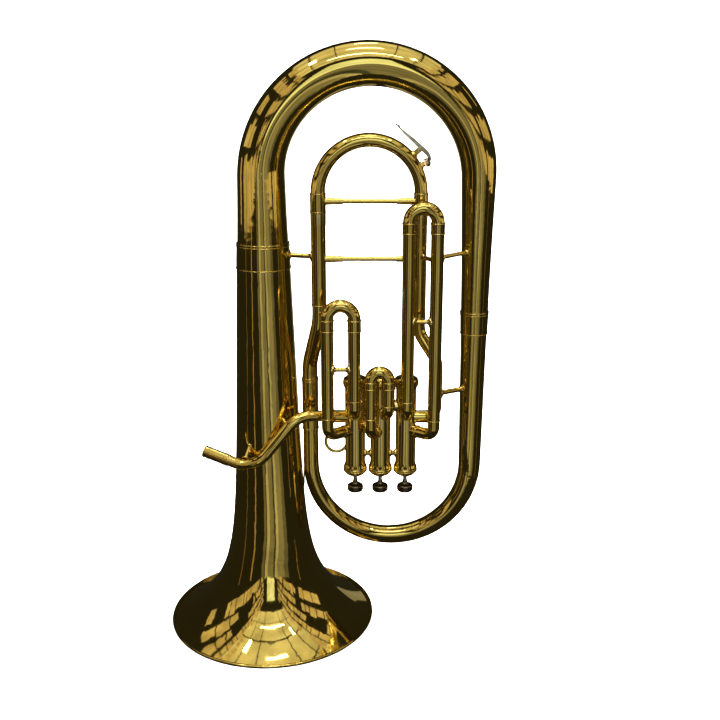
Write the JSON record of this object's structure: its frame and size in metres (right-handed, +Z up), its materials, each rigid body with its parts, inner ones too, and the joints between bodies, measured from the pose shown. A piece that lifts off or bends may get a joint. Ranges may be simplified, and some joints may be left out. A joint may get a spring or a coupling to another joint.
{
  "type": "euphonium",
  "caption": "Upright piston-valve euphonium in gold-lacquered brass, standing on its bell, with sprung valves, sliding tuning slides and a hinged water key.",
  "frame": {"origin": "centre of the bell's rim, on the surface that the instrument stands on", "axes": "+Z up along the bell's axis, from the rim to the big bow; +X from the bell to the far leg of the big bow; the valve slides are on the -Y side"},
  "size_m": [0.416, 0.27, 0.7393],
  "materials": {
    "brass_lacquer": "polished brass under clear gold lacquer, mirror gloss with fine wear",
    "slide_inner": "bright nickel-silver drawn tube, lightly greased",
    "piston_metal": "nickel-plated, honed",
    "nickel": "polished nickel plate, slightly dulled",
    "spring_steel": "drawn spring wire",
    "cork": "natural cork, matt"
  },
  "bodies": {
    "horn_body": {"bell": "brass_lacquer", "bell_branch_plate": "brass_lacquer", "bell_ferrule": "brass_lacquer", "bell_rim_wire": "brass_lacquer", "bell_to_main_brace": "brass_lacquer", "first_slide_leg_left": "brass_lacquer", "first_slide_leg_right": "brass_lacquer", "inner_branch_ferrule": "brass_lacquer", "leadpipe": "brass_lacquer", "leadpipe_braces": "brass_lacquer", "left_gooseneck": "brass_lacquer", "leg_braces": "brass_lacquer", "lower_bow": "brass_lacquer", "main_outer_tube_left": "brass_lacquer", "main_outer_tube_right": "brass_lacquer", "main_slide_fixed_brace": "brass_lacquer", "mouthpiece_receiver": "brass_lacquer", "outer_branch_ferrule": "brass_lacquer", "right_gooseneck": "brass_lacquer", "second_slide_leg_left": "brass_lacquer", "second_slide_leg_right": "brass_lacquer", "slide_braces": "brass_lacquer", "third_slide_leg_left": "brass_lacquer", "third_slide_leg_right": "brass_lacquer", "thumb_ring": "brass_lacquer", "top_bow": "brass_lacquer", "valve_bottom_caps": "brass_lacquer", "valve_braces": "brass_lacquer", "valve_casing_1": "brass_lacquer", "valve_casing_2": "brass_lacquer", "valve_casing_3": "brass_lacquer", "valve_knuckles": "brass_lacquer", "valve_spring_1": "spring_steel", "valve_spring_2": "spring_steel", "valve_spring_3": "spring_steel", "valve_top_caps": "brass_lacquer"},
    "valve_1": {"finger_button_1": "nickel", "piston_1": "piston_metal", "valve_stem_1": "nickel"},
    "valve_2": {"finger_button_2": "nickel", "piston_2": "piston_metal", "valve_stem_2": "nickel"},
    "valve_3": {"finger_button_3": "nickel", "piston_3": "piston_metal", "valve_stem_3": "nickel"},
    "first_slide": {"first_slide_bow": "brass_lacquer", "first_slide_inner_legs": "slide_inner"},
    "main_slide": {"main_slide_bow": "brass_lacquer", "main_slide_inner_legs": "slide_inner", "main_slide_moving_brace": "brass_lacquer", "main_slide_sockets": "brass_lacquer", "water_key_seat": "brass_lacquer", "water_key_spring": "spring_steel"},
    "second_slide": {"second_slide_bow": "brass_lacquer", "second_slide_inner_legs": "slide_inner"},
    "third_slide": {"third_slide_bow": "brass_lacquer", "third_slide_inner_legs": "slide_inner"},
    "water_key": {"water_key_cork": "cork", "water_key_lever": "nickel"}
  },
  "joints": [
    {"name": "valve_1_travel", "type": "slide", "parent": "horn_body", "child": "valve_1", "axis": [0, 0, 1], "range_m": [0, 0.0105], "stiffness_N_per_m": 150, "springref_m": -0.012, "deforming": ["valve_spring_1"]},
    {"name": "valve_2_travel", "type": "slide", "parent": "horn_body", "child": "valve_2", "axis": [0, 0, 1], "range_m": [0, 0.0105], "stiffness_N_per_m": 150, "springref_m": -0.012, "deforming": ["valve_spring_2"]},
    {"name": "valve_3_travel", "type": "slide", "parent": "horn_body", "child": "valve_3", "axis": [0, 0, 1], "range_m": [0, 0.0105], "stiffness_N_per_m": 150, "springref_m": -0.012, "deforming": ["valve_spring_3"]},
    {"name": "main_slide_travel", "type": "slide", "parent": "horn_body", "child": "main_slide", "axis": [0, 0, 1], "range_m": [0, 0.032]},
    {"name": "first_slide_travel", "type": "slide", "parent": "horn_body", "child": "first_slide", "axis": [0, 0, 1], "range_m": [0, 0.05]},
    {"name": "second_slide_travel", "type": "slide", "parent": "horn_body", "child": "second_slide", "axis": [0, 0, 1], "range_m": [0, 0.015]},
    {"name": "third_slide_travel", "type": "slide", "parent": "horn_body", "child": "third_slide", "axis": [0, 0, 1], "range_m": [0, 0.08]},
    {"name": "water_key_pivot", "type": "hinge", "parent": "main_slide", "child": "water_key", "pos_m": [0.18735, -0.017, 0.6166], "axis": [0, -1, 0], "range_deg": [0, 15], "stiffness_Nm_per_rad": 0.04, "springref_deg": -34.38}
  ]
}
